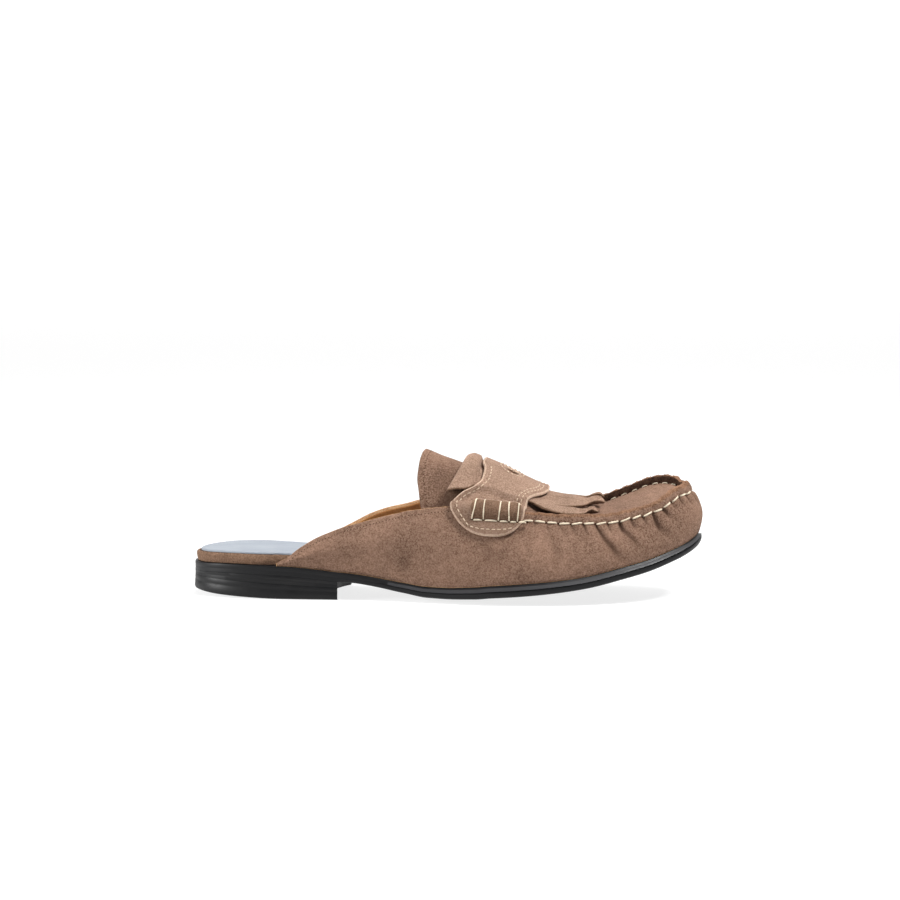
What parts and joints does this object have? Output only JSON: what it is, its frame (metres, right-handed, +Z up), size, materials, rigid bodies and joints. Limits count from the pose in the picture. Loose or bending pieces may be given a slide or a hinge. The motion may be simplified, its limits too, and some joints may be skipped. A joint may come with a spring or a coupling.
{
  "type": "loafer mule",
  "caption": "Backless suede loafer mule for a right foot: gathered moccasin toe, fringed band, saddle with rolled edges, standing tongue, thin black sole and low heel.",
  "frame": {"origin": "on the floor under the flat of the heel, on the sole's middle line", "axes": "+X to the toe, +Y to the inner (big toe) side, +Z up from the floor"},
  "size_m": [0.2926, 0.0982, 0.0833],
  "materials": {
    "suede": "matte nap",
    "sole_black": "satin",
    "sock_blue": "satin"
  },
  "bodies": {
    "root": {"outsole": "sole_black", "heel": "sole_black", "top_lift": "sole_black", "footbed": "suede", "sock": "sock_blue", "upper": "suede", "tongue": "suede", "kiltie": "suede", "saddle": "suede"}
  },
  "joints": []
}
